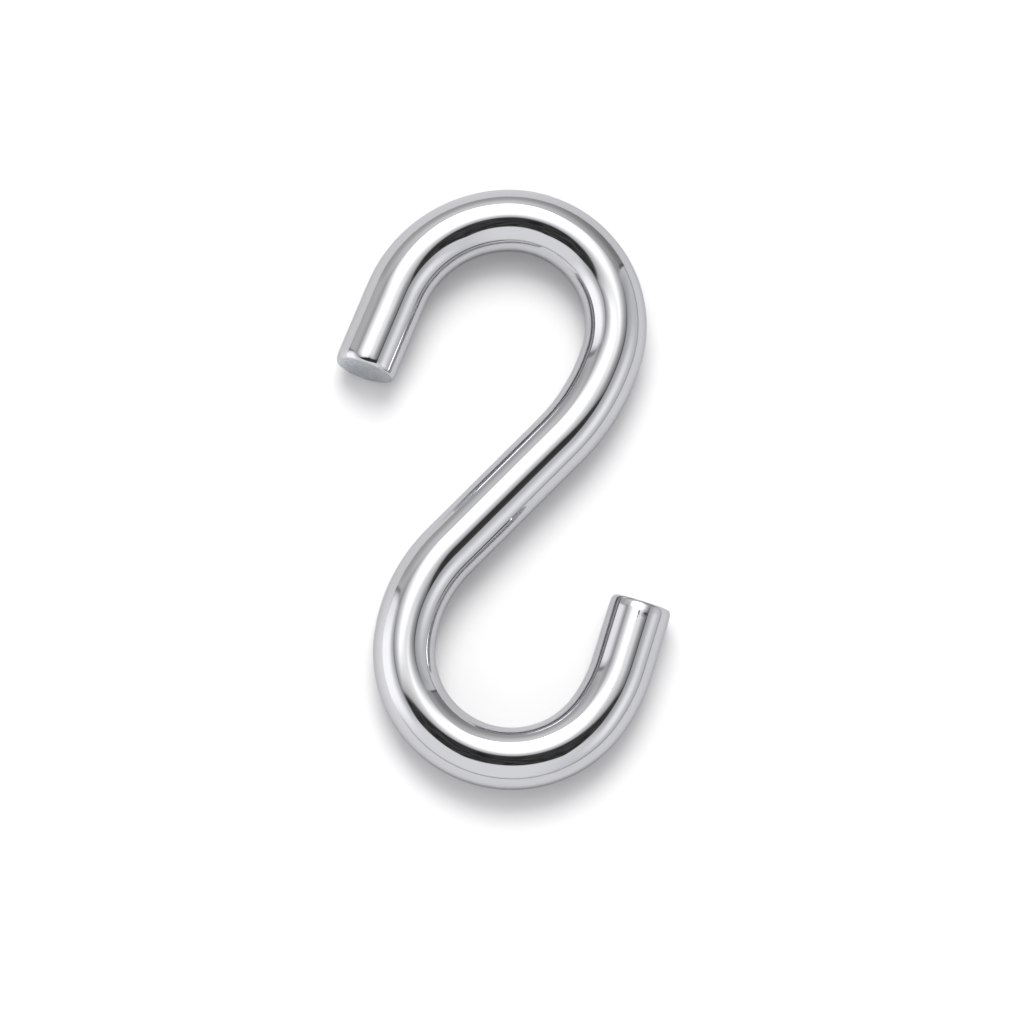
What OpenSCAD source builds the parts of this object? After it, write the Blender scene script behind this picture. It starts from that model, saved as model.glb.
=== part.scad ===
// S hook bent from one length of polished round bar.
// It lies flat: the bar touches z = 0 all along, and x = 0, y = 0 is the middle of its outline.
// The shank runs up to the right. The upper hook opens to the left and the lower hook to the right.
// Each hook is a chain of tangent bends that follow the shank: shoulder, crown, lead, then a straight lip.

/* [Bar] */
// Diameter of the round bar
bar_d = 6; // [4:0.5:8]

/* [Shank] */
// Length of the straight shank between the two shoulders
shank_len = 15.2; // [10:0.2:30]
// Slope of the shank from the X axis, in degrees
shank_deg = 45.5; // [40:0.5:55]

/* [Upper hook] */
// Inside radius of the upper shoulder
upper_shoulder_in_r = 18; // [10:0.5:24]
// Turn of the upper shoulder, in degrees
upper_shoulder_deg = 26.5; // [15:0.5:40]
// Inside radius of the upper crown, which carries the load
upper_crown_in_r = 7.25; // [5:0.25:12]
// Turn of the upper crown, in degrees
upper_crown_deg = 112.5; // [100:0.5:140]
// Inside radius of the upper lead, between crown and lip
upper_lead_in_r = 9; // [6:0.5:16]
// Turn of the upper lead, in degrees
upper_lead_deg = 63; // [30:0.5:75]
// Straight length of the upper lip
upper_lip_len = 8.1; // [3:0.1:14]
// Slant of the upper end's cut from square, in degrees
upper_cut_deg = 6; // [0:0.5:10]
// Way that the upper cut's face leans: 0 is upwards and 90 is to the inside of the hook, in degrees
upper_cut_lean_deg = 30; // [-90:5:90]

/* [Lower hook] */
// Inside radius of the lower shoulder
lower_shoulder_in_r = 12; // [8:0.5:24]
// Turn of the lower shoulder, in degrees
lower_shoulder_deg = 36.5; // [20:0.5:45]
// Inside radius of the lower crown, which carries the load
lower_crown_in_r = 7.25; // [5:0.25:12]
// Turn of the lower crown, in degrees
lower_crown_deg = 151; // [130:0.5:160]
// Inside radius of the lower lead, between crown and lip
lower_lead_in_r = 13; // [6:0.5:20]
// Turn of the lower lead, in degrees
lower_lead_deg = 20; // [10:0.5:35]
// Straight length of the lower lip
lower_lip_len = 6.5; // [3:0.1:14]
// Slant of the lower end's cut from square, in degrees
lower_cut_deg = 6; // [0:0.5:10]
// Way that the lower cut's face leans: 0 is upwards and 90 is to the inside of the hook, in degrees
lower_cut_lean_deg = 0; // [-90:5:90]

/* [Cut ends] */
// Width of the chamfer round each cut face
end_chamfer = 0.2; // [0.1:0.05:0.4]
// Length of the worn band behind each chamfer
end_band = 0.25; // [0.1:0.05:0.6]
// Slope of the worn band, from the cut's own axis, in degrees
end_taper_deg = 16; // [12:1:25]

/* [Hidden] */
$fn = 96;

bar_r = bar_d / 2;
// A solid that is cut away reaches this far past what stays
overrun = 1;
// Places and directions are laid in whole steps of these sizes, and then by what is left
place_step = 0.01;
turn_step = 1e-6;
// Number of close headings that are tried for a direction, and how far apart they are, in degrees
turn_tries = 60;
turn_nudge = 1e-4;

// Directions along the bar and to its left at heading h
function ahead(h) = [cos(h), sin(h)];
function left(h) = [-sin(h), cos(h)];

// Centres of a hook's three bends and its tip, from the shank's middle, with the shank along heading 0.
// r holds the three bends' centreline radii, and h the headings at which they start and the last one ends.
function shoulder_centre(r) = [shank_len / 2, r[0]];
function crown_centre(r, h) = shoulder_centre(r) + (r[1] - r[0]) * left(h[1]);
function lead_centre(r, h) = crown_centre(r, h) + (r[2] - r[1]) * left(h[2]);
function tip(r, h, lip_len) = lead_centre(r, h) - r[2] * left(h[3]) + lip_len * ahead(h[3]);

// The same point after the shank is laid at its slope
function laid(p) = p.x * ahead(shank_deg) + p.y * left(shank_deg);

// Length of a lip's outer side as far as the worn band. A cut that leans inwards leaves it longer.
function lip_side(lip_len, cut_deg, cut_lean) =
    lip_len - end_chamfer - end_band + bar_r * tan(cut_deg) * sin(cut_lean);

// Furthest reach of a hook's crown to the right and up, and of its lip's outer side to the left
function crown_reach(r, h) = laid(crown_centre(r, h)) + (r[1] + bar_r) * [1, 1];
function lip_reach(r, h, side_len) = laid(tip(r, h, side_len)).x - bar_r * abs(sin(shank_deg + h[3]));

upper_r = [for (r = [upper_shoulder_in_r, upper_crown_in_r, upper_lead_in_r]) r + bar_r];
upper_h2 = upper_shoulder_deg + upper_crown_deg;
upper_h = [0, upper_shoulder_deg, upper_h2, upper_h2 + upper_lead_deg];
lower_r = [for (r = [lower_shoulder_in_r, lower_crown_in_r, lower_lead_in_r]) r + bar_r];
lower_h2 = lower_shoulder_deg + lower_crown_deg;
lower_h = [0, lower_shoulder_deg, lower_h2, lower_h2 + lower_lead_deg];

// Outline of the laid hook. The lower hook is the same chain turned half round, so its reach is negative.
upper_reach = crown_reach(upper_r, upper_h);
lower_reach = -crown_reach(lower_r, lower_h);
upper_side = lip_side(upper_lip_len, upper_cut_deg, upper_cut_lean_deg);
lower_side = lip_side(lower_lip_len, lower_cut_deg, lower_cut_lean_deg);
x_max = max(upper_reach.x, -lip_reach(lower_r, lower_h, lower_side));
x_min = min(lower_reach.x, lip_reach(upper_r, upper_h, upper_side));
outline_middle = [(x_min + x_max) / 2, (upper_reach.y + lower_reach.y) / 2, 0];

// A number to the nearest whole step
function stepped(x, step) = round(x / step) * step;

// A direction in whole steps is a little too long or too short, which would swell or shrink the bar.
// So several close to heading h are tried, and the one whose length is nearest to 1 is taken.
function close_directions(h) = [
    for (i = [0:turn_tries])
        [stepped(cos(h + i * turn_nudge), turn_step), stepped(sin(h + i * turn_nudge), turn_step)]
];
function length_error(d) = abs(norm(d) - 1);
function truest(directions) =
    let (least = min([for (d = directions) length_error(d)]))
    [for (d = directions) if (length_error(d) == least) d][0];

// Carries its children to point p with their X axis at heading h.
// Both moves are made in whole steps and then by what is left, so that neighbours meet exactly.
module place(p, h) {
    whole = [stepped(p.x, place_step), stepped(p.y, place_step), 0];
    d = truest(close_directions(h));
    turn_left = asin((sin(h) * d.x - cos(h) * d.y) / norm(d));
    translate(whole)
        translate([p.x, p.y, 0] - whole)
            multmatrix([[d.x, -d.y, 0, 0], [d.y, d.x, 0, 0], [0, 0, 1, 0], [0, 0, 0, 1]])
                rotate([0, 0, turn_left])
                    children();
}

// A bend about the given centre, from heading h_start to heading h_end
module bend(centre, r, h_start, h_end) {
    place(centre, 0)
        rotate_extrude(start = h_start - 90, angle = h_end - h_start)
            translate([r, 0])
                circle(d = bar_d);
}

// Half outline of a cut about its own axis: flat face at y = 0, chamfer, worn band, then clear of the bar
module cut_outline(back) {
    edge_r = bar_r - end_band * tan(end_taper_deg);
    face_r = edge_r - end_chamfer;
    back_r = edge_r + (back - end_chamfer) * tan(end_taper_deg);
    polygon([[0, 0], [face_r, 0], [edge_r, -end_chamfer], [back_r, -back], [0, -back]]);
}

// Rolls its children about the X axis, which is the bar's own
module roll(a) {
    d = truest(close_directions(a));
    multmatrix([[1, 0, 0, 0], [0, d.x, -d.y, 0], [0, d.y, d.x, 0], [0, 0, 0, 1]])
        children();
}

// The straight lip along +X. The cut's face slants upwards, and is rolled to the way that it leans.
module lip(lip_len, cut_deg, cut_lean) {
    roll(-cut_lean)
        intersection() {
            rotate([0, 90, 0])
                cylinder(h = lip_len + overrun, d = bar_d);
            translate([lip_len, 0, 0])
                rotate([0, 90 - cut_deg, 0])
                    rotate_extrude()
                        cut_outline(lip_len + bar_d);
        }
}

// One hook from the end of the shank outwards, with the shank along the X axis
module arm(r, h, lip_len, cut_deg, cut_lean) {
    bend(shoulder_centre(r), r[0], h[0], h[1]);
    bend(crown_centre(r, h), r[1], h[1], h[2]);
    bend(lead_centre(r, h), r[2], h[2], h[3]);
    place(tip(r, h, 0), h[3])
        lip(lip_len, cut_deg, cut_lean);
}

module hook() {
    color("silver")
        translate([0, 0, bar_r] - outline_middle)
            place([0, 0], shank_deg) {
                translate([-shank_len / 2, 0, 0])
                    rotate([0, 90, 0])
                        cylinder(h = shank_len, d = bar_d);
                arm(upper_r, upper_h, upper_lip_len, upper_cut_deg, upper_cut_lean_deg);
                rotate([0, 0, 180])
                    arm(lower_r, lower_h, lower_lip_len, lower_cut_deg, lower_cut_lean_deg);
            }
}

hook();
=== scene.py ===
import math

import bmesh
import bpy
from bpy.props import FloatProperty, FloatVectorProperty, IntProperty, PointerProperty
from mathutils import Euler, Matrix, Vector


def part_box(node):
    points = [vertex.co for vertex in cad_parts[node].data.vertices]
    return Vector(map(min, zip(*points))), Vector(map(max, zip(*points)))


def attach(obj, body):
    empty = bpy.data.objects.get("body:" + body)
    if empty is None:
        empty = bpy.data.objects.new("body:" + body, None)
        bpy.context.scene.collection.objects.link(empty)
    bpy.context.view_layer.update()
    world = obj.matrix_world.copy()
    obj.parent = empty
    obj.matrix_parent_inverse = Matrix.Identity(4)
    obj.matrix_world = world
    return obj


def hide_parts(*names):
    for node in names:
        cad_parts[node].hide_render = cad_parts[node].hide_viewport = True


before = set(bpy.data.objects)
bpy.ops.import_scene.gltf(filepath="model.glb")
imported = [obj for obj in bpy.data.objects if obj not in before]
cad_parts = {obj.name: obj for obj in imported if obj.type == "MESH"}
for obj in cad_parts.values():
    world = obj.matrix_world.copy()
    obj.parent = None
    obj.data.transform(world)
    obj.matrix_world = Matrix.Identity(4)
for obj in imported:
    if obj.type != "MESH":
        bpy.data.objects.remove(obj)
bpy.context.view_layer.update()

bl_info = {
    "name": "S Hook",
    "version": (1, 0, 0),
    "blender": (4, 5, 0),
    "location": "View3D > Sidebar > S Hook",
    "description": "A bent and chromed S hook with a small studio around it",
    "category": "Object",
}

HOOK_LOW, HOOK_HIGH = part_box("hook")
BAR_DIAMETER = HOOK_HIGH.z - HOOK_LOW.z
MM = 0.001
UP = Vector((0, 0, 1))


# ---------------------------------------------------------------- sizes and colours


class HookSizes(bpy.types.PropertyGroup):
    """Sizes of the bent bar"""

    bar_diameter: FloatProperty(
        name="Bar Diameter", description="Diameter of the round bar",
        default=BAR_DIAMETER, unit="LENGTH", precision=5)
    shank_length: FloatProperty(
        name="Shank Length", description="Straight bar between the two hooks",
        default=15.2 * MM, unit="LENGTH", precision=5)
    shank_slope: FloatProperty(
        name="Shank Slope", description="Slope of the shank from the X axis",
        default=math.radians(45.5), unit="ROTATION")
    shank_middle: FloatVectorProperty(
        name="Shank Middle", description="Where the middle of the shank lies",
        default=(0.0608 * MM, -0.7723 * MM), size=2, unit="LENGTH", precision=6)
    upper_radii: FloatVectorProperty(
        name="Upper Inside Radii",
        description="Inside radii of the upper hook's shoulder, crown and lead bends",
        default=(18 * MM, 7.25 * MM, 9 * MM), size=3, unit="LENGTH", precision=5)
    upper_turns: FloatVectorProperty(
        name="Upper Turns",
        description="How far the upper hook's shoulder, crown and lead bends turn",
        default=(math.radians(26.5), math.radians(112.5), math.radians(63)),
        size=3, unit="ROTATION")
    upper_lip: FloatProperty(
        name="Upper Lip", description="Straight end of the upper hook",
        default=8.1 * MM, unit="LENGTH", precision=5)
    upper_cut: FloatProperty(
        name="Upper Cut", description="Slant of the upper cut from square",
        default=math.radians(6), unit="ROTATION")
    upper_lean: FloatProperty(
        name="Upper Lean",
        description="Way that the upper cut face leans, from upwards towards the inside",
        default=math.radians(30), unit="ROTATION")
    lower_radii: FloatVectorProperty(
        name="Lower Inside Radii",
        description="Inside radii of the lower hook's shoulder, crown and lead bends",
        default=(12 * MM, 7.25 * MM, 13 * MM), size=3, unit="LENGTH", precision=5)
    lower_turns: FloatVectorProperty(
        name="Lower Turns",
        description="How far the lower hook's shoulder, crown and lead bends turn",
        default=(math.radians(36.5), math.radians(151), math.radians(20)),
        size=3, unit="ROTATION")
    lower_lip: FloatProperty(
        name="Lower Lip", description="Straight end of the lower hook",
        default=6.5 * MM, unit="LENGTH", precision=5)
    lower_cut: FloatProperty(
        name="Lower Cut", description="Slant of the lower cut from square",
        default=math.radians(6), unit="ROTATION")
    lower_lean: FloatProperty(
        name="Lower Lean",
        description="Way that the lower cut face leans, from upwards towards the inside",
        default=0.0, unit="ROTATION")
    sides: IntProperty(
        name="Sides", description="Faces round the bar", default=128, min=16, max=256)
    ring_gap: FloatProperty(
        name="Ring Gap", description="Longest face along the bar",
        default=0.34 * MM, min=0.1 * MM, unit="LENGTH", precision=5)


class FinishSettings(bpy.types.PropertyGroup):
    """Colours and finish of the metal"""

    chrome: FloatVectorProperty(
        name="Chrome", description="Colour of the plated surface",
        default=(0.537, 0.540, 0.553), size=3, subtype="COLOR", min=0, max=1)
    cut_metal: FloatVectorProperty(
        name="Cut Metal", description="Colour of the two cut faces",
        default=(0.50, 0.52, 0.55), size=3, subtype="COLOR", min=0, max=1)
    polish: FloatProperty(
        name="Roughness", description="Roughness of the polished surface",
        default=0.045, min=0, max=1, subtype="FACTOR")


class StudioSettings(bpy.types.PropertyGroup):
    """The floor, the light and the camera"""

    floor_colour: FloatVectorProperty(
        name="Floor", description="Colour of the floor",
        default=(0.77, 0.77, 0.77), size=3, subtype="COLOR", min=0, max=1)
    softbox: FloatProperty(
        name="Softbox", description="Radiance of the main soft light",
        default=9.0, min=0)
    surroundings: FloatProperty(
        name="Surroundings", description="Strength of everything round the hook",
        default=1.0, min=0)


# ---------------------------------------------------------------- node wiring


COLUMN_WIDTH, ROW_HEIGHT, ROWS = 190, 170, 6
MIX_BELOW, MIX_ABOVE, MIX_RESULT = 6, 7, 2


class Wiring:
    """Adds nodes to one node tree and joins them up."""

    def __init__(self, tree):
        self.tree = tree
        self.count = 0

    def node(self, kind, **settings):
        """Adds a node, laid out in columns."""
        made = self.tree.nodes.new(kind)
        column, row = divmod(self.count, ROWS)
        made.location = (COLUMN_WIDTH * column, -ROW_HEIGHT * row)
        self.count += 1
        for key, value in settings.items():
            setattr(made, key, value)
        return made

    def feed(self, socket, source):
        """Links the source to the socket, or sets it when it is a plain value."""
        if isinstance(source, bpy.types.NodeSocket):
            self.tree.links.new(source, socket)
        else:
            socket.default_value = source

    def math(self, operation, *sources):
        made = self.node("ShaderNodeMath", operation=operation)
        for socket, source in zip(made.inputs, sources):
            self.feed(socket, source)
        return made.outputs[0]

    def vector(self, operation, *sources):
        made = self.node("ShaderNodeVectorMath", operation=operation)
        for socket, source in zip(made.inputs, sources):
            self.feed(socket, source)
        return made.outputs["Value" if operation in ("LENGTH", "DOT_PRODUCT") else "Vector"]

    def step(self, value, start, end, low=0.0, high=1.0, smooth=True):
        """Goes from low to high while the value goes from start to end."""
        made = self.node("ShaderNodeMapRange", clamp=True,
                         interpolation_type="SMOOTHSTEP" if smooth else "LINEAR")
        for name, source in (("Value", value), ("From Min", start), ("From Max", end),
                             ("To Min", low), ("To Max", high)):
            self.feed(made.inputs[name], source)
        return made.outputs["Result"]

    def mix(self, mask, below, above):
        """Colour below where the mask is 0, and above where it is 1."""
        made = self.node("ShaderNodeMix", data_type="RGBA", clamp_factor=True)
        self.feed(made.inputs["Factor"], mask)
        self.feed(made.inputs[MIX_BELOW], below)
        self.feed(made.inputs[MIX_ABOVE], above)
        return made.outputs[MIX_RESULT]

    def split(self, vector):
        made = self.node("ShaderNodeSeparateXYZ")
        self.feed(made.inputs[0], vector)
        return made.outputs

    def join(self, x, y, z):
        made = self.node("ShaderNodeCombineXYZ")
        for socket, source in zip(made.inputs, (x, y, z)):
            self.feed(socket, source)
        return made.outputs[0]

    def noise(self, vector, scale, detail, roughness):
        made = self.node("ShaderNodeTexNoise", noise_dimensions="3D")
        for name, source in (("Vector", vector), ("Scale", scale), ("Detail", detail),
                             ("Roughness", roughness)):
            self.feed(made.inputs[name], source)
        return made.outputs["Fac"]

    def group(self, tree, **sources):
        """Adds a node group, with each source named as its socket."""
        made = self.node("ShaderNodeGroup", node_tree=tree)
        for name, source in sources.items():
            self.feed(made.inputs[name.replace("_", " ")], source)
        return made.outputs

    def bump(self, height, distance, normal=None):
        """Bump at full strength, on top of another bump's normal when one is given."""
        made = self.node("ShaderNodeBump")
        made.inputs["Strength"].default_value = 1.0
        made.inputs["Distance"].default_value = distance
        self.feed(made.inputs["Height"], height)
        if normal is not None:
            self.feed(made.inputs["Normal"], normal)
        return made.outputs["Normal"]


def new_group(name, inputs, outputs):
    """A node group with named sockets, its wiring, and its input and output nodes."""
    tree = bpy.data.node_groups.new(name, "ShaderNodeTree")
    for label, kind in inputs:
        tree.interface.new_socket(name=label, in_out="INPUT", socket_type="NodeSocket" + kind)
    for label, kind in outputs:
        tree.interface.new_socket(name=label, in_out="OUTPUT", socket_type="NodeSocket" + kind)
    wires = Wiring(tree)
    return tree, wires, wires.node("NodeGroupInput").outputs, wires.node("NodeGroupOutput").inputs


# ---------------------------------------------------------------- the metal

# How many noise cells there are to the metre
LINE_SCALE = 6500.0
WAVE_SCALE = 260.0
HAZE_SCALE = 420.0
GRAIN_SCALE = 2600.0
CLOUD_SCALE = 500.0
# How far each noise is drawn out along the bar, and the grain across it
LINES_DRAWN = (0.02, 1.0, 1.0)
WAVES_DRAWN = (0.45, 1.0, 1.0)
HAZE_DRAWN = (0.3, 1.0, 1.0)
GRAIN_DRAWN = (1.0, 0.35, 1.0)
# Heights of the bumps
WAVE_HEIGHT = 0.010 * MM
LINE_HEIGHT = 0.0004 * MM
GRAIN_HEIGHT = 0.002 * MM

# Plate: tint at grazing angles, where haze dulls it and how much, and its roughness in the haze
# as shares of the polish
EDGE_TINT = (0.70, 0.70, 0.72, 1)
DULL_HAZE, DULL_SHARE = (0.56, 0.8), 0.9
ROUGH_HAZE, ROUGH_SHARES = (0.3, 0.75), (0.8, 1.5)
# Cut faces: where the cloud darkens them and how much, and their roughness in the grain
DARK_CLOUD, DARK_SHARE = (0.35, 0.65), 0.9
ROUGH_GRAIN, CUT_ROUGHNESS = (0.3, 0.7), (0.22, 0.34)

# Pits and stains in the plate: distance from the middle of the bar, across, half length and half
# width in millimetres, then how dark
PITS = (
    (-54.78, -0.06, 0.25, 0.095, 1.00), (-54.56, -0.01, 0.12, 0.07, 1.00),
    (-54.34, -0.06, 0.10, 0.07, 0.90), (-53.87, -0.05, 0.06, 0.05, 0.70),
    (-53.54, -0.06, 0.05, 0.04, 0.50), (-54.82, 0.60, 0.20, 0.28, 0.72),
    (-54.68, 0.48, 0.34, 0.42, 0.34), (57.99, 0.08, 0.13, 0.07, 0.95),
    (-46.90, -0.10, 0.06, 0.05, 0.55), (-45.60, 0.16, 0.05, 0.04, 0.45),
)
PIT_COLOUR = (0.02, 0.02, 0.022, 1)
PIT_HALF_HEIGHT = 0.5 * MM
# Share of a pit's half size that is fully dark
PIT_CORE = 0.35


def draw_marks_group():
    """Faint lines that run along the bar, and a slow waviness of the polish."""
    tree, w, given, out = new_group(
        "Draw marks",
        [("Place", "Vector"), ("Line Scale", "Float"), ("Wave Scale", "Float")],
        [("Lines", "Float"), ("Waves", "Float")])
    fine = w.vector("MULTIPLY", given["Place"], LINES_DRAWN)
    w.feed(out["Lines"], w.noise(fine, given["Line Scale"], 3.0, 0.6))
    slow = w.vector("MULTIPLY", given["Place"], WAVES_DRAWN)
    w.feed(out["Waves"], w.noise(slow, given["Wave Scale"], 1.0, 0.4))
    return tree


def pit_group():
    """Mask of one small pit, from its centre and its half size along each axis."""
    tree, w, given, out = new_group(
        "Pit", [("Place", "Vector"), ("Centre", "Vector"), ("Half Size", "Vector")],
        [("Mask", "Float")])
    away = w.vector("DIVIDE", w.vector("SUBTRACT", given["Place"], given["Centre"]),
                    given["Half Size"])
    w.feed(out["Mask"], w.step(w.vector("LENGTH", away), 1.0, PIT_CORE))
    return tree


def new_metal(name):
    """A bare metal: material, wiring, the shader's sockets and the place on the straight bar."""
    material = bpy.data.materials.new(name)
    material.use_nodes = True
    material.node_tree.nodes.clear()
    w = Wiring(material.node_tree)
    place = w.node("ShaderNodeAttribute", attribute_name="unbent").outputs["Vector"]
    shader = w.node("ShaderNodeBsdfPrincipled")
    shader.inputs["Metallic"].default_value = 1.0
    surface = w.node("ShaderNodeOutputMaterial")
    w.feed(surface.inputs["Surface"], shader.outputs["BSDF"])
    return material, w, shader.inputs, place


def plated_metal(finish):
    """Bright chrome plate over a drawn bar."""
    material, w, sockets, place = new_metal("chrome plate")
    found = w.group(draw_marks_group(), Place=place, Line_Scale=LINE_SCALE,
                    Wave_Scale=WAVE_SCALE)
    haze = w.noise(w.vector("MULTIPLY", place, HAZE_DRAWN), HAZE_SCALE, 3.0, 0.6)

    sockets["Specular Tint"].default_value = EDGE_TINT
    dull = tuple(DULL_SHARE * c for c in finish.chrome)
    colour = w.mix(w.step(haze, *DULL_HAZE), (*finish.chrome, 1), (*dull, 1))
    pit_tree = pit_group()
    top = BAR_DIAMETER / 2
    for along, across, half_length, half_width, darkness in PITS:
        pit = w.group(pit_tree, Place=place, Centre=(along * MM, across * MM, top),
                      Half_Size=(half_length * MM, half_width * MM, PIT_HALF_HEIGHT))["Mask"]
        colour = w.mix(w.math("MULTIPLY", pit, darkness), colour, PIT_COLOUR)
    w.feed(sockets["Base Color"], colour)
    w.feed(sockets["Roughness"],
           w.step(haze, *ROUGH_HAZE, *(finish.polish * share for share in ROUGH_SHARES)))
    waves = w.bump(found["Waves"], WAVE_HEIGHT)
    w.feed(sockets["Normal"], w.bump(found["Lines"], LINE_HEIGHT, waves))
    return material


def cut_metal(finish):
    """Satin face that the cutter left on each end, plated with the rest."""
    material, w, sockets, place = new_metal("cut end")
    grain = w.noise(w.vector("MULTIPLY", place, GRAIN_DRAWN), GRAIN_SCALE, 4.0, 0.65)
    cloud = w.noise(place, CLOUD_SCALE, 2.0, 0.5)

    dark = tuple(DARK_SHARE * c for c in finish.cut_metal)
    w.feed(sockets["Base Color"],
           w.mix(w.step(cloud, *DARK_CLOUD), (*dark, 1), (*finish.cut_metal, 1)))
    w.feed(sockets["Roughness"], w.step(grain, *ROUGH_GRAIN, *CUT_ROUGHNESS))
    w.feed(sockets["Normal"], w.bump(grain, GRAIN_HEIGHT))
    return material


# ---------------------------------------------------------------- the hook

# How the bar's edge wears into each cut face: distance back from the face, radius lost all
# round, and what is lost besides on the hook's outer side
UPPER_EDGE = (
    (1.100, 0.0000, 0.000), (0.900, 0.0000, 0.002), (0.760, 0.0005, 0.006),
    (0.640, 0.0010, 0.012), (0.560, 0.0020, 0.018), (0.500, 0.0035, 0.025),
    (0.440, 0.0065, 0.034), (0.390, 0.0110, 0.043), (0.340, 0.0180, 0.053),
    (0.300, 0.0260, 0.060), (0.260, 0.0360, 0.066), (0.220, 0.0480, 0.070),
    (0.180, 0.0620, 0.072), (0.145, 0.0760, 0.072), (0.115, 0.0905, 0.070),
    (0.090, 0.1055, 0.066), (0.068, 0.1225, 0.060), (0.048, 0.1440, 0.049),
    (0.030, 0.1715, 0.032), (0.015, 0.2050, 0.014), (0.005, 0.2450, 0.000),
    (0.000, 0.2750, 0.000),
)
LOWER_EDGE = (
    (1.350, 0.0000, 0.0), (1.150, 0.0005, 0.0), (1.000, 0.0015, 0.0), (0.900, 0.0030, 0.0),
    (0.820, 0.0055, 0.0), (0.740, 0.0095, 0.0), (0.660, 0.0150, 0.0), (0.570, 0.0230, 0.0),
    (0.500, 0.0305, 0.0), (0.430, 0.0395, 0.0), (0.370, 0.0495, 0.0), (0.320, 0.0605, 0.0),
    (0.270, 0.0755, 0.0), (0.220, 0.0945, 0.0), (0.175, 0.1155, 0.0), (0.140, 0.1360, 0.0),
    (0.105, 0.1615, 0.0), (0.070, 0.1940, 0.0), (0.040, 0.2310, 0.0), (0.015, 0.2710, 0.0),
    (0.000, 0.3050, 0.0),
)
# The cut's slant grows over the first of these lengths, and its squeeze over the second
SLANT_REACH = 0.7 * MM
SQUEEZE_REACH = 1.0 * MM
# Rings across each cut face, as shares of its radius
FACE_RINGS = (0.97, 0.8, 0.5, 0.15)


class Bar:
    """A round bar that grows ring by ring from the middle of the shank to one end.

    The section's X axis runs along the bar, and way is 1 towards the upper end and -1 towards
    the lower one.
    """

    def __init__(self, mesh, unbent, ring, middle, heading, sizes, way):
        self.mesh = mesh
        self.unbent = unbent
        self.ring = ring
        self.section = Matrix.Translation(middle) @ Matrix.Rotation(heading, 4, "Z")
        self.sizes = sizes
        self.way = way
        self.travelled = 0.0

    def corners(self):
        """The ring's corners, in the order of its edges."""
        return list(dict.fromkeys(v for edge in self.ring for v in edge.verts))

    def mark(self):
        """Notes where each corner of the ring would be on the straight bar."""
        back = self.section.inverted()
        for corner in self.corners():
            local = back @ corner.co
            corner[self.unbent] = (self.way * (self.travelled + local.x), self.way * local.y,
                                   local.z)

    def extrude(self):
        """Adds a ring on top of the last one, and gives its corners."""
        made = bmesh.ops.extrude_edge_only(self.mesh, edges=self.ring)["geom"]
        self.ring = [e for e in made if isinstance(e, bmesh.types.BMEdge)]
        return [v for v in made if isinstance(v, bmesh.types.BMVert)]

    def straight(self, length):
        """Carries the bar straight on."""
        count = math.ceil(length / self.sizes.ring_gap)
        stride = length / count
        for _ in range(count):
            corners = self.extrude()
            bmesh.ops.translate(self.mesh, verts=corners,
                                vec=self.section.to_3x3() @ Vector((stride, 0, 0)))
            self.section = self.section @ Matrix.Translation((stride, 0, 0))
            self.travelled += stride
            self.mark()

    def bend(self, inside_radius, turn):
        """Carries the bar round a bend to its left."""
        radius = inside_radius + self.sizes.bar_diameter / 2
        count = math.ceil(radius * turn / self.sizes.ring_gap)
        centre = self.section @ Vector((0, radius, 0))
        centre.z = self.sizes.bar_diameter / 2
        for _ in range(count):
            made = bmesh.ops.spin(self.mesh, geom=self.ring + self.corners(), cent=centre,
                                  axis=UP, angle=turn / count, steps=1, use_merge=False,
                                  use_duplicate=False, use_normal_flip=False)["geom_last"]
            self.ring = [e for e in made if isinstance(e, bmesh.types.BMEdge)]
            about = Matrix.Translation(centre) @ Matrix.Rotation(turn / count, 4, "Z")
            self.section = about @ Matrix.Translation(-centre) @ self.section
            self.travelled += radius * turn / count
            self.mark()

    def reshape(self, before, after):
        """Pushes the ring out, and takes it from one shape of the section to the next."""
        corners = self.extrude()
        there = self.section @ after @ before.inverted() @ self.section.inverted()
        bmesh.ops.transform(self.mesh, matrix=there, verts=corners)
        self.mark()

    def cut_end(self, cut, lean, worn_edge):
        """The worn edge and the slanting face, from where the edge's first row lies."""
        radius = self.sizes.bar_diameter / 2
        reach = worn_edge[0][0] * MM
        shape = Matrix.Identity(4)
        roll = Matrix.Rotation(-lean, 4, "X")

        def slanted(back, lost, side):
            """Shape of the section there: smaller, sheared to the slant and set to one side."""
            shear = Matrix.Identity(4)
            shear[0][2] = -math.tan(cut) * min(1.0, (reach - back) / SLANT_REACH)
            size = (radius - lost) / radius
            squeeze = 1 - (1 - math.cos(cut)) * max(0.0, 1 - back / SQUEEZE_REACH)
            squeezed = Matrix.Diagonal((1, size, size * squeeze, 1))
            narrowed = Matrix.Diagonal((1, 1 - side / 2 / (radius - lost), 1, 1))
            aside = Matrix.Translation((reach - back, side / 2, 0))
            return aside @ narrowed @ roll @ shear @ squeezed @ roll.inverted()

        for back, lost, side in worn_edge[1:]:
            after = slanted(back * MM, lost * MM, side * MM)
            self.reshape(shape, after)
            shape = after
        face_radius = radius - worn_edge[-1][1] * MM
        smooth_faces = set(self.mesh.faces)
        for share in FACE_RINGS:
            after = slanted(0.0, radius - face_radius * share, 0.0)
            self.reshape(shape, after)
            shape = after
        bmesh.ops.edgeloop_fill(self.mesh, edges=self.ring)
        return [f for f in self.mesh.faces if f not in smooth_faces]

    def hook(self, radii, turns, lip, cut, lean, worn_edge):
        """Half the shank, the three bends, the lip and the cut end, whose faces are returned."""
        self.straight(self.sizes.shank_length / 2)
        for inside_radius, turn in zip(radii, turns):
            self.bend(inside_radius, turn)
        self.straight(lip - worn_edge[0][0] * MM)
        return self.cut_end(cut, lean, worn_edge)


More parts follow.
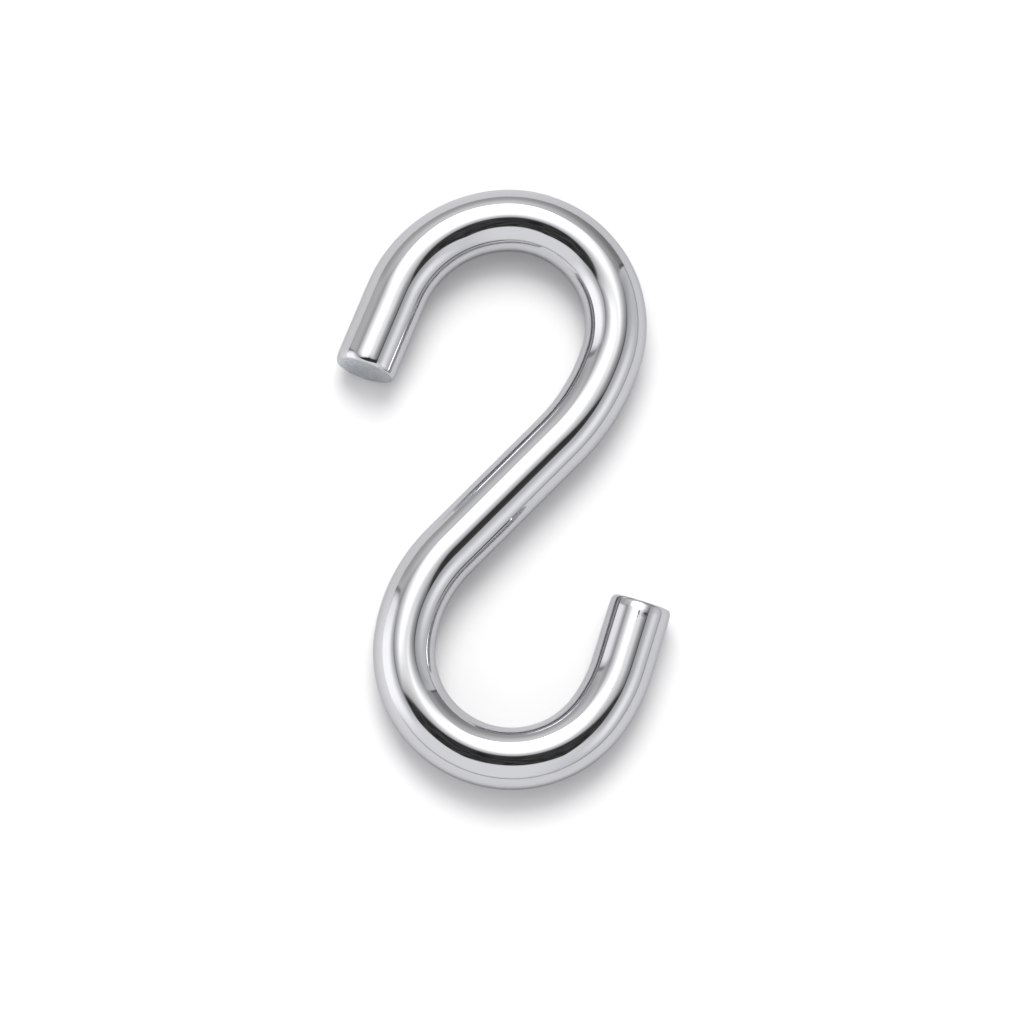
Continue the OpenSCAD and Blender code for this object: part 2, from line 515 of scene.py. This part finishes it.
def shape_hook(sizes):
    """The whole bar as one closed mesh, with its cut faces in the second material."""
    radius = sizes.bar_diameter / 2
    mesh = bmesh.new()
    unbent = mesh.verts.layers.float_vector.new("unbent")
    middle = Vector((*sizes.shank_middle, radius))
    upright = Matrix.Rotation(math.radians(90), 4, "Y")
    place = Matrix.Translation(middle) @ Matrix.Rotation(sizes.shank_slope, 4, "Z") @ upright
    bmesh.ops.create_circle(mesh, cap_ends=False, segments=sizes.sides, radius=radius,
                            matrix=place)
    first = list(mesh.edges)
    upper = Bar(mesh, unbent, first, middle, sizes.shank_slope, sizes, 1)
    upper.mark()
    cut_faces = upper.hook(sizes.upper_radii, sizes.upper_turns, sizes.upper_lip,
                           sizes.upper_cut, sizes.upper_lean, UPPER_EDGE)
    lower = Bar(mesh, unbent, first, middle, sizes.shank_slope + math.pi, sizes, -1)
    cut_faces += lower.hook(sizes.lower_radii, sizes.lower_turns, sizes.lower_lip,
                            sizes.lower_cut, sizes.lower_lean, LOWER_EDGE)
    bmesh.ops.recalc_face_normals(mesh, faces=mesh.faces)
    for face in mesh.faces:
        face.smooth = True
    for face in cut_faces:
        face.material_index = 1
    return mesh


class OBJECT_OT_s_hook(bpy.types.Operator):
    """Bend the bar into the hook and plate it"""

    bl_idname = "object.s_hook"
    bl_label = "S Hook"

    def execute(self, context):
        mesh = shape_hook(context.scene.hook_sizes)
        data = bpy.data.meshes.new("s_hook")
        mesh.to_mesh(data)
        mesh.free()
        if len(data.polygons) == 0:
            raise RuntimeError("the hook has no faces")
        piece = bpy.data.objects.new("s_hook", data)
        context.scene.collection.objects.link(piece)
        finish = context.scene.hook_finish
        data.materials.append(plated_metal(finish))
        data.materials.append(cut_metal(finish))
        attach(piece, "root")
        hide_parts("hook")
        return {"FINISHED"}


# ---------------------------------------------------------------- the studio

# Directions round the hook are laid out flat, in degrees from straight up: X to the right, and Y
# away from the camera's feet. Azimuths count from the right, and zeniths from straight up.
# Lines are a point, the way they face and how soft they are. Blobs are a centre, radii and a turn.
# Ramps are where a value starts and ends. Colours are radiances, and may be above 1.

FIRST_AZIMUTH = -60.0
FULL_TURN = 360.0

# Pale walls, greyer to the right, with a bright patch low on that side and a dark one to the left
PALE_WALL = (1.171, 1.175, 1.200, 1)
GREY_WALL = (0.874, 0.878, 0.896, 1)
GREY_FROM = ((36.4, 0), 0, 25.2)
BRIGHT_PATCH, BRIGHT_WALL = ((56.6, -23.7), (19.6, 45.0), -16.2), (1.455, 1.46, 1.49, 1)
DARK_PATCH, DARK_WALL = ((-78.5, -36.0), (12.3, 34.0), 9.6), (0.42, 0.43, 0.44, 1)
SKIRTING_ZENITHS, SKIRTING = (80.7, 92.0), (0.45, 0.46, 0.475, 1)

# Grey back wall, which darkens towards its foot, its right corner and its left end
BACK_WALL = (1.05, 1.05, 1.06, 1)
BACK_FOOT_ZENITHS, BACK_FOOT = (62.3, 78.7), (0.59, 0.59, 0.595, 1)
BACK_CORNER_AZIMUTHS, BACK_CORNER_ZENITHS = (91.3, 41.8), (20.0, 80.2)
BACK_CORNER = (0.33, 0.33, 0.335, 1)
BACK_LEFT_AZIMUTHS, BACK_LEFT = (103.9, 170.0), (0.58, 0.58, 0.585, 1)
BACK_AZIMUTHS, BACK_TOP_ZENITHS = ((34.6, 36.2), (152.0, 149.0)), (45.0, 47.0)

# White window to the left
WINDOW_AZIMUTHS = ((140.0, 168.9), (223.9, 191.3))
WINDOW_ZENITHS = ((47.7, 65.2), (100.0, 85.3))
WINDOW = (1.75, 1.75, 1.76, 1)

# Dark seams in the two corners of the room: azimuth, half width and level
CORNER_SEAMS = ((35.8, 1.2, 0.16), (148.0, 1.5, 0.33))
SEAM_CORE = 0.2
SEAM_ZENITHS = (56.0, 72.0)

# Sides, front and back of the ceiling, and how the walls darken up to it
RIGHT_SIDE, LEFT_SIDE = ((38.0, 15.0), -16.7), ((-41.2, 15.0), 190.4)
FRONT_SIDE, BACK_SIDE = ((0, -8), -90), ((0, 20), 90)
LEFT_STEEPNESS = 1.4
WALL_SHADE = (0.0, 20.0, 0.52, 1.0)

# The ceiling brightens from its two sides and from the opening: share for each degree, and level
RIGHT_FADE, RIGHT_LEVEL = 0.934, (0.0, 26.0, 0.27, 0.47)
LEFT_FADE, LEFT_LEVEL = 0.943, (0.0, 30.0, 0.50, 0.62)
OPENING_FADE, OPENING_LEVEL = 0.908, 0.66
CEILING_MOST = 1.85
SIDE_SOFT = 0.7
CEILING_BACK, CEILING_FRONT = (61.0, 47.0), (-34.0, -31.0)
CEILING_CORNERS = (((-25.7, 39.7), -52, 4.5), ((26.4, 36.8), -130, 3.2))

# Softbox: centre, half size, corner and softness
SOFTBOX = ((-3.0, 35.5), (19.0, 15.0), 15.0, 5.0)

# Dark gaps along the ceiling's two sides
RIGHT_GAP, LEFT_GAP = 0.05, 0.30
GAP_WIDTHS = (1.9, 0.5)
GAP_BACK, GAP_FRONT = (36.0, -2.0), (-14.0, -9.0)

# Dark opening where the camera looks in. Its far side has two slopes that meet in the middle.
OPENING_LEFT_SLOPE, OPENING_RIGHT_SLOPE = ((-13, -1.75), -79.2, 1.8), ((18, -1.2), -100.7, 1.8)
OPENING_CORNER = ((-28.6, -24.6), 48.0, 1.3)
OPENING_SIDES = (((-34.2, -12), 10.0, 1.2), ((31.9, -11.5), 159.0, 1.2), ((0, -34.0), 94.0, 1.6))
OPENING_DARK, OPENING_PALE = (0.022, 0.022, 0.023, 1), (0.095, 0.097, 0.094, 1)
OPENING_CLOUD_SCALE, OPENING_CLOUD = 0.20, (0.35, 0.65)


def sky_plane_group():
    """Lays a direction out flat, in degrees from straight up."""
    tree, w, given, out = new_group(
        "Sky plane", [("Direction", "Vector")],
        [("Place", "Vector"), ("From Zenith", "Float"), ("Azimuth", "Float")])
    x, y, z = w.split(w.vector("NORMALIZE", given["Direction"]))
    zenith = w.math("MULTIPLY", w.math("ARCCOSINE", z), 180 / math.pi)
    flat = w.math("MAXIMUM", w.vector("LENGTH", w.join(x, y, 0.0)), 1e-5)
    scale = w.math("DIVIDE", zenith, flat)
    w.feed(out["Place"], w.join(w.math("MULTIPLY", x, scale), w.math("MULTIPLY", y, scale), 0.0))
    w.feed(out["From Zenith"], zenith)
    degrees = w.math("MULTIPLY", w.math("ARCTAN2", y, x), 180 / math.pi)
    low = w.math("LESS_THAN", degrees, FIRST_AZIMUTH)
    w.feed(out["Azimuth"], w.math("ADD", degrees, w.math("MULTIPLY", low, FULL_TURN)))
    return tree


def soft_panel_group():
    """Mask of an upright panel with round corners and a soft edge."""
    tree, w, given, out = new_group(
        "Soft panel",
        [("Place", "Vector"), ("Centre", "Vector"), ("Half Size", "Vector"),
         ("Corner", "Float"), ("Softness", "Float")],
        [("Mask", "Float")])
    off_centre = w.vector("SUBTRACT", given["Place"], given["Centre"])
    x, y, _ = w.split(w.vector("ABSOLUTE", off_centre))
    half_x, half_y, _ = w.split(given["Half Size"])
    past_x = w.math("ADD", w.math("SUBTRACT", x, half_x), given["Corner"])
    past_y = w.math("ADD", w.math("SUBTRACT", y, half_y), given["Corner"])
    outside = w.vector("LENGTH", w.join(w.math("MAXIMUM", past_x, 0.0),
                                        w.math("MAXIMUM", past_y, 0.0), 0.0))
    inside = w.math("MINIMUM", w.math("MAXIMUM", past_x, past_y), 0.0)
    distance = w.math("SUBTRACT", w.math("ADD", outside, inside), given["Corner"])
    w.feed(out["Mask"], w.step(distance, given["Softness"],
                               w.math("MULTIPLY", given["Softness"], -1.0)))
    return tree


def soft_blob_group():
    """Mask of an oval that fades from its middle to its rim."""
    tree, w, given, out = new_group(
        "Soft blob",
        [("Place", "Vector"), ("Centre", "Vector"), ("Radii", "Vector"), ("Turn", "Float")],
        [("Mask", "Float")])
    turned = w.node("ShaderNodeVectorRotate", rotation_type="Z_AXIS")
    w.feed(turned.inputs["Vector"], w.vector("SUBTRACT", given["Place"], given["Centre"]))
    w.feed(turned.inputs["Angle"], w.math("MULTIPLY", given["Turn"], -1.0))
    off_centre = w.vector("LENGTH", w.vector("DIVIDE", turned.outputs["Vector"], given["Radii"]))
    w.feed(out["Mask"], w.step(off_centre, 1.0, 0.0))
    return tree


def soft_edge_group():
    """Mask of everything past a straight line, with a soft edge, and how far past it is."""
    tree, w, given, out = new_group(
        "Soft edge",
        [("Place", "Vector"), ("Point", "Vector"), ("Facing", "Vector"), ("Softness", "Float")],
        [("Mask", "Float"), ("Past", "Float")])
    past = w.vector("DOT_PRODUCT", w.vector("SUBTRACT", given["Place"], given["Point"]),
                    given["Facing"])
    w.feed(out["Past"], past)
    w.feed(out["Mask"], w.step(past, w.math("MULTIPLY", given["Softness"], -1.0),
                               given["Softness"]))
    return tree


class Sky(Wiring):
    """Wiring of the world, with masks over the flat lay-out of directions."""

    def __init__(self, tree):
        super().__init__(tree)
        direction = self.node("ShaderNodeTexCoord").outputs["Generated"]
        laid_out = self.group(sky_plane_group(), Direction=direction)
        self.place = laid_out["Place"]
        self.zenith = laid_out["From Zenith"]
        self.azimuth = laid_out["Azimuth"]
        self.y = self.split(self.place)["Y"]
        self.panel_tree = soft_panel_group()
        self.blob_tree = soft_blob_group()
        self.edge_tree = soft_edge_group()

    def panel(self, centre, half, corner, softness):
        return self.group(self.panel_tree, Place=self.place, Centre=(*centre, 0),
                          Half_Size=(*half, 0), Corner=corner, Softness=softness)["Mask"]

    def blob(self, centre, radii, turn):
        return self.group(self.blob_tree, Place=self.place, Centre=(*centre, 0),
                          Radii=(*radii, 1), Turn=math.radians(turn))["Mask"]

    def line(self, point, facing, softness):
        angle = math.radians(facing)
        return self.group(self.edge_tree, Place=self.place, Point=(*point, 0),
                          Facing=(math.cos(angle), math.sin(angle), 0), Softness=softness)

    def edge(self, point, facing, softness):
        return self.line(point, facing, softness)["Mask"]

    def past(self, point, facing):
        """How many degrees past the line."""
        return self.line(point, facing, 1.0)["Past"]

    def combine(self, operation, *values):
        result = values[0]
        for value in values[1:]:
            result = self.math(operation, result, value)
        return result

    def both(self, *masks):
        return self.combine("MULTIPLY", *masks)

    def most(self, *values):
        return self.combine("MAXIMUM", *values)

    def least(self, *values):
        return self.combine("MINIMUM", *values)

    def ramp(self, share, distance, level):
        """Level times a share for each degree of distance."""
        return self.math("MULTIPLY", self.math("POWER", share, distance), level)

    def even(self, level):
        """Grey of that level."""
        return self.join(level, level, level)


def wall_colour(w):
    """The walls, the window and the seams of the room."""
    colour = w.mix(w.edge(*GREY_FROM), PALE_WALL, GREY_WALL)
    colour = w.mix(w.blob(*BRIGHT_PATCH), colour, BRIGHT_WALL)
    colour = w.mix(w.blob(*DARK_PATCH), colour, DARK_WALL)
    colour = w.mix(w.step(w.zenith, *SKIRTING_ZENITHS), colour, SKIRTING)

    back_wall = w.mix(w.step(w.zenith, *BACK_FOOT_ZENITHS, smooth=False), BACK_WALL, BACK_FOOT)
    corner_shade = w.both(w.step(w.azimuth, *BACK_CORNER_AZIMUTHS),
                          w.step(w.zenith, *BACK_CORNER_ZENITHS))
    back_wall = w.mix(corner_shade, back_wall, BACK_CORNER)
    back_wall = w.mix(w.step(w.azimuth, *BACK_LEFT_AZIMUTHS), back_wall, BACK_LEFT)
    back = w.both(*(w.step(w.azimuth, *ends) for ends in BACK_AZIMUTHS),
                  w.step(w.zenith, *BACK_TOP_ZENITHS))
    colour = w.mix(back, colour, back_wall)

    window = w.both(*(w.step(w.azimuth, *ends) for ends in WINDOW_AZIMUTHS),
                    *(w.step(w.zenith, *ends) for ends in WINDOW_ZENITHS))
    colour = w.mix(window, colour, WINDOW)

    for corner_azimuth, half_width, level in CORNER_SEAMS:
        off = w.math("ABSOLUTE", w.math("SUBTRACT", w.azimuth, corner_azimuth))
        seam = w.both(w.step(off, half_width, SEAM_CORE), w.step(w.zenith, *SEAM_ZENITHS))
        colour = w.mix(seam, colour, (level, level, level, 1))
    return colour


def light_surroundings(studio):
    """Pale room, softbox and dark opening round the hook, seen in every reflection."""
    world = bpy.data.worlds.new("studio")
    world.use_nodes = True
    world.node_tree.nodes.clear()
    w = Sky(world.node_tree)
    colour = wall_colour(w)

    right, left = w.past(*RIGHT_SIDE), w.past(*LEFT_SIDE)
    outside = w.most(right, w.math("MULTIPLY", left, LEFT_STEEPNESS), w.past(*FRONT_SIDE),
                     w.past(*BACK_SIDE))
    shade = w.step(outside, *WALL_SHADE, smooth=False)
    colour = w.vector("MULTIPLY", colour, w.even(shade))

    left_slope, right_slope = w.line(*OPENING_LEFT_SLOPE), w.line(*OPENING_RIGHT_SLOPE)
    corner_cut = w.edge(*OPENING_CORNER)
    from_opening = w.least(left_slope["Past"], right_slope["Past"])
    glow = w.least(w.ramp(RIGHT_FADE, right, w.step(w.y, *RIGHT_LEVEL)),
                   w.ramp(LEFT_FADE, left, w.step(w.y, *LEFT_LEVEL)),
                   w.ramp(OPENING_FADE, from_opening, OPENING_LEVEL), CEILING_MOST)
    ceiling = w.both(w.step(right, SIDE_SOFT, -SIDE_SOFT), w.step(left, SIDE_SOFT, -SIDE_SOFT),
                     w.step(w.y, *CEILING_BACK), w.step(w.y, *CEILING_FRONT),
                     *(w.edge(*corner) for corner in CEILING_CORNERS), corner_cut)
    colour = w.mix(ceiling, colour, w.even(glow))
    colour = w.mix(w.panel(*SOFTBOX), colour, (*[studio.softbox] * 3, 1))

    for gap, level in ((right, RIGHT_GAP), (left, LEFT_GAP)):
        seam = w.both(w.step(w.math("ABSOLUTE", gap), *GAP_WIDTHS), w.step(w.y, *GAP_BACK),
                      w.step(w.y, *GAP_FRONT))
        colour = w.mix(seam, colour, (level, level, level, 1))

    opening = w.both(left_slope["Mask"], right_slope["Mask"],
                     *(w.edge(*side) for side in OPENING_SIDES), corner_cut)
    cloud = w.step(w.noise(w.place, OPENING_CLOUD_SCALE, 3.0, 0.6), *OPENING_CLOUD)
    colour = w.mix(opening, colour, w.mix(cloud, OPENING_DARK, OPENING_PALE))

    background = w.node("ShaderNodeBackground")
    w.feed(background.inputs["Color"], colour)
    background.inputs["Strength"].default_value = studio.surroundings
    output = w.node("ShaderNodeOutputWorld")
    w.feed(output.inputs["Surface"], background.outputs[0])
    bpy.context.scene.world = world


CAMERA_TARGET = Vector((0.841 * MM, -2.312 * MM, 3 * MM))
CAMERA_TURN = Euler((math.radians(10), math.radians(-3), 0))
CAMERA_DISTANCE = 0.9
CAMERA_LENS = 329.06
CAMERA_SENSOR = 36.0
CAMERA_CLIP = (0.01, 100.0)
FLOOR_REACH = 3.0
FLOOR_ROUGHNESS = 0.35


def floor_material(studio):
    """Plain pale floor."""
    material = bpy.data.materials.new("pale floor")
    material.use_nodes = True
    shader = material.node_tree.nodes["Principled BSDF"]
    shader.inputs["Base Color"].default_value = (*studio.floor_colour, 1)
    shader.inputs["Roughness"].default_value = FLOOR_ROUGHNESS
    return material


class OBJECT_OT_s_hook_studio(bpy.types.Operator):
    """Lay the floor, light it and place the camera"""

    bl_idname = "object.s_hook_studio"
    bl_label = "Studio"

    def execute(self, context):
        studio = context.scene.hook_studio
        mesh = bmesh.new()
        bmesh.ops.create_grid(mesh, x_segments=8, y_segments=8, size=FLOOR_REACH)
        data = bpy.data.meshes.new("floor")
        mesh.to_mesh(data)
        mesh.free()
        data.materials.append(floor_material(studio))
        floor = bpy.data.objects.new("floor", data)
        context.scene.collection.objects.link(floor)
        light_surroundings(studio)

        lens = bpy.data.cameras.new("camera")
        lens.sensor_width = CAMERA_SENSOR
        lens.lens = CAMERA_LENS
        lens.clip_start, lens.clip_end = CAMERA_CLIP
        camera = bpy.data.objects.new("camera", lens)
        camera.rotation_euler = CAMERA_TURN
        camera.location = (CAMERA_TARGET
                           + CAMERA_TURN.to_matrix() @ Vector((0, 0, CAMERA_DISTANCE)))
        context.scene.collection.objects.link(camera)
        context.scene.camera = camera
        context.scene.view_settings.view_transform = "Standard"
        return {"FINISHED"}


# ---------------------------------------------------------------- the panel


class VIEW3D_PT_s_hook(bpy.types.Panel):
    """Sizes, finish and studio of the hook"""

    bl_idname = "VIEW3D_PT_s_hook"
    bl_label = "S Hook"
    bl_space_type = "VIEW_3D"
    bl_region_type = "UI"
    bl_category = "S Hook"

    def draw(self, context):
        scene = context.scene
        for group in (scene.hook_sizes, scene.hook_finish, scene.hook_studio):
            column = self.layout.column(align=True)
            for name in group.bl_rna.properties.keys():
                if name not in ("rna_type", "name"):
                    column.prop(group, name)
        for operator in (OBJECT_OT_s_hook, OBJECT_OT_s_hook_studio):
            self.layout.operator(operator.bl_idname)


CLASSES = (HookSizes, FinishSettings, StudioSettings, OBJECT_OT_s_hook,
           OBJECT_OT_s_hook_studio, VIEW3D_PT_s_hook)


def register():
    for each in CLASSES:
        bpy.utils.register_class(each)
    bpy.types.Scene.hook_sizes = PointerProperty(type=HookSizes)
    bpy.types.Scene.hook_finish = PointerProperty(type=FinishSettings)
    bpy.types.Scene.hook_studio = PointerProperty(type=StudioSettings)


def unregister():
    del bpy.types.Scene.hook_studio
    del bpy.types.Scene.hook_finish
    del bpy.types.Scene.hook_sizes
    for each in reversed(CLASSES):
        bpy.utils.unregister_class(each)


def main():
    register()
    bpy.ops.object.s_hook()
    bpy.ops.object.s_hook_studio()


if __name__ == "__main__":
    main()
